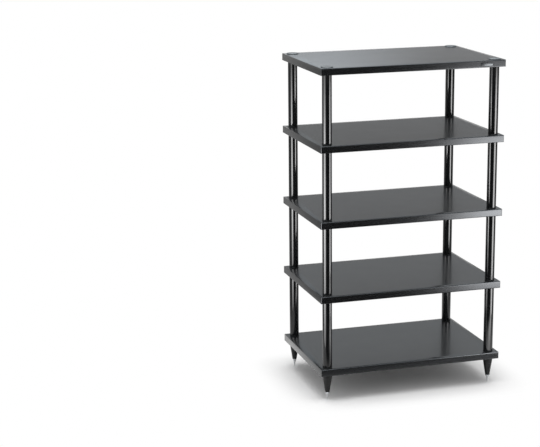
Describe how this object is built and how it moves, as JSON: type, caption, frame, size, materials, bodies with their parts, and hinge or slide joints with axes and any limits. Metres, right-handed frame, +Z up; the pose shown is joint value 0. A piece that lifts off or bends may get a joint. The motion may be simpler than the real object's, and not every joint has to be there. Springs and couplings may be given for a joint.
{
  "type": "audio equipment rack",
  "caption": "Open audio rack: rectangular shelf boards on round column tubes, clamped by tie rods under disc caps, on cone feet with levelling spikes.",
  "frame": {"origin": "on the floor, under the middle of the rack's outline", "axes": "+X to the right seen from the front, +Y to the back, +Z up"},
  "size_m": [0.6, 0.4, 1.0535],
  "materials": {
    "board": "satin black foil on MDF",
    "edge_strip": "black anodised, brushed lengthways",
    "column_paint": "gloss black",
    "ring_rubber": "matt",
    "foot_paint": "satin black",
    "spike_plating": "polished",
    "cap_aluminium": "satin",
    "rod_steel": "zinc plated"
  },
  "bodies": {
    "rack": {"shelf_board_1": "board", "shelf_board_2": "board", "shelf_board_3": "board", "shelf_board_4": "board", "shelf_board_5": "board", "front_edge_strip_1": "edge_strip", "front_edge_strip_2": "edge_strip", "front_edge_strip_3": "edge_strip", "front_edge_strip_4": "edge_strip", "front_edge_strip_5": "edge_strip", "column_ring_front_left_1": "ring_rubber", "column_ring_front_right_1": "ring_rubber", "column_ring_rear_left_1": "ring_rubber", "column_ring_rear_right_1": "ring_rubber", "column_ring_front_left_2": "ring_rubber", "column_ring_front_right_2": "ring_rubber", "column_ring_rear_left_2": "ring_rubber", "column_ring_rear_right_2": "ring_rubber", "column_ring_front_left_3": "ring_rubber", "column_ring_front_right_3": "ring_rubber", "column_ring_rear_left_3": "ring_rubber", "column_ring_rear_right_3": "ring_rubber", "column_ring_front_left_4": "ring_rubber", "column_ring_front_right_4": "ring_rubber", "column_ring_rear_left_4": "ring_rubber", "column_ring_rear_right_4": "ring_rubber", "column_tube_front_left_1": "column_paint", "column_tube_front_right_1": "column_paint", "column_tube_rear_left_1": "column_paint", "column_tube_rear_right_1": "column_paint", "column_tube_front_left_2": "column_paint", "column_tube_front_right_2": "column_paint", "column_tube_rear_left_2": "column_paint", "column_tube_rear_right_2": "column_paint", "column_tube_front_left_3": "column_paint", "column_tube_front_right_3": "column_paint", "column_tube_rear_left_3": "column_paint", "column_tube_rear_right_3": "column_paint", "column_tube_front_left_4": "column_paint", "column_tube_front_right_4": "column_paint", "column_tube_rear_left_4": "column_paint", "column_tube_rear_right_4": "column_paint", "cone_foot_front_left": "foot_paint", "cone_foot_front_right": "foot_paint", "cone_foot_rear_left": "foot_paint", "cone_foot_rear_right": "foot_paint", "tie_rod_front_left": "rod_steel", "tie_rod_front_right": "rod_steel", "tie_rod_rear_left": "rod_steel", "tie_rod_rear_right": "rod_steel", "disc_cap_front_left": "cap_aluminium", "disc_cap_front_right": "cap_aluminium", "disc_cap_rear_left": "cap_aluminium", "disc_cap_rear_right": "cap_aluminium", "blank_plate": "cap_aluminium"},
    "leveller_front_left": {"spike_front_left": "spike_plating"},
    "leveller_front_right": {"spike_front_right": "spike_plating"},
    "leveller_rear_left": {"spike_rear_left": "spike_plating"},
    "leveller_rear_right": {"spike_rear_right": "spike_plating"}
  },
  "joints": [
    {"name": "screw_front_left", "type": "slide", "parent": "rack", "child": "leveller_front_left", "axis": [0, 0, -1], "range_m": [0, 0.01]},
    {"name": "screw_front_right", "type": "slide", "parent": "rack", "child": "leveller_front_right", "axis": [0, 0, -1], "range_m": [0, 0.01]},
    {"name": "screw_rear_left", "type": "slide", "parent": "rack", "child": "leveller_rear_left", "axis": [0, 0, -1], "range_m": [0, 0.01]},
    {"name": "screw_rear_right", "type": "slide", "parent": "rack", "child": "leveller_rear_right", "axis": [0, 0, -1], "range_m": [0, 0.01]}
  ]
}
